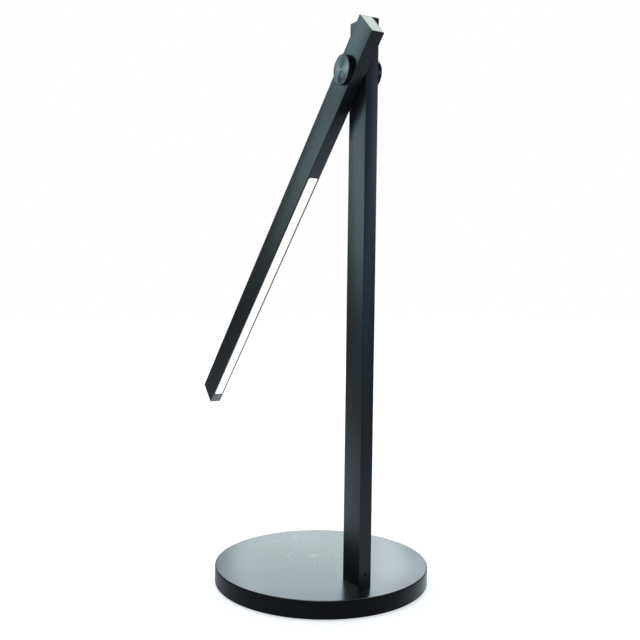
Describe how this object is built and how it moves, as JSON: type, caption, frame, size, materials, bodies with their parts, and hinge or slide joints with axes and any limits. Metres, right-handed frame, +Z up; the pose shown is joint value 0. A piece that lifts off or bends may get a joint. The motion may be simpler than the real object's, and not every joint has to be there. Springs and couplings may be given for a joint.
{
  "type": "folding desk lamp",
  "caption": "Folding desk lamp: a round weighted base with a wireless charging spot, a flat upright post, and a flat light arm that folds beside the post on a friction hinge.",
  "frame": {"origin": "centre of the base's underside, on the table", "axes": "+Z up along the post, -Y towards the user (the side the arm's free end leans to), +X the side of the post on which the arm sits"},
  "size_m": [0.18, 0.3159, 0.456],
  "materials": {
    "bar_black": "satin",
    "cap_black": "satin",
    "knob_metal": "satin",
    "cover_black": "satin",
    "foam": "matte",
    "plate_steel": "satin",
    "weight_iron": "matte",
    "bright_steel": "satin",
    "bare_aluminium": "satin",
    "socket_black": "satin",
    "copper": "satin",
    "ferrite": "matte",
    "tray_white": "matte",
    "board_green": "satin",
    "board_white": "satin",
    "chip_yellow": "gloss",
    "reflector_white": "satin",
    "opal": "satin",
    "lead_black": "satin",
    "lead_red": "satin",
    "washer_grey": "matte"
  },
  "bodies": {
    "stand": {"base_pad": "foam", "base_plate": "plate_steel", "base_weight": "weight_iron", "base_cover": "cover_black", "base_screws": "bright_steel", "dc_jack": "socket_black", "charging_coil": "copper", "ferrite_sheet": "ferrite", "coil_tray": "tray_white", "charger_board": "board_green", "control_board": "board_green", "board_spacers": "tray_white", "touch_board": "board_green", "touch_electrodes": "copper", "base_lead": "lead_red", "post_tube": "bar_black", "post_foot": "bare_aluminium", "post_bolts": "bright_steel", "set_screw": "bright_steel", "post_cap": "cap_black", "post_hinge_block": "bare_aluminium", "post_lead": "lead_black", "hinge_cover_post": "knob_metal"},
    "arm": {"hinge_axle": "bright_steel", "hinge_nut": "bright_steel", "spring_washer": "bright_steel", "friction_washer": "washer_grey", "stop_pin": "bright_steel", "hinge_cover_arm": "knob_metal", "arm_channel": "bar_black", "arm_hinge_block": "bare_aluminium", "arm_top_cap": "cap_black", "arm_tip_cap": "cap_black", "led_rail": "bare_aluminium", "led_board": "board_white", "led_chips": "chip_yellow", "reflector": "reflector_white", "diffuser": "opal", "arm_lead": "lead_black"}
  },
  "joints": [
    {"name": "arm_hinge", "type": "hinge", "parent": "stand", "child": "arm", "pos_m": [0, 0.056, 0.416], "axis": [-1, 0, 0], "range_deg": [-44, 136]}
  ]
}
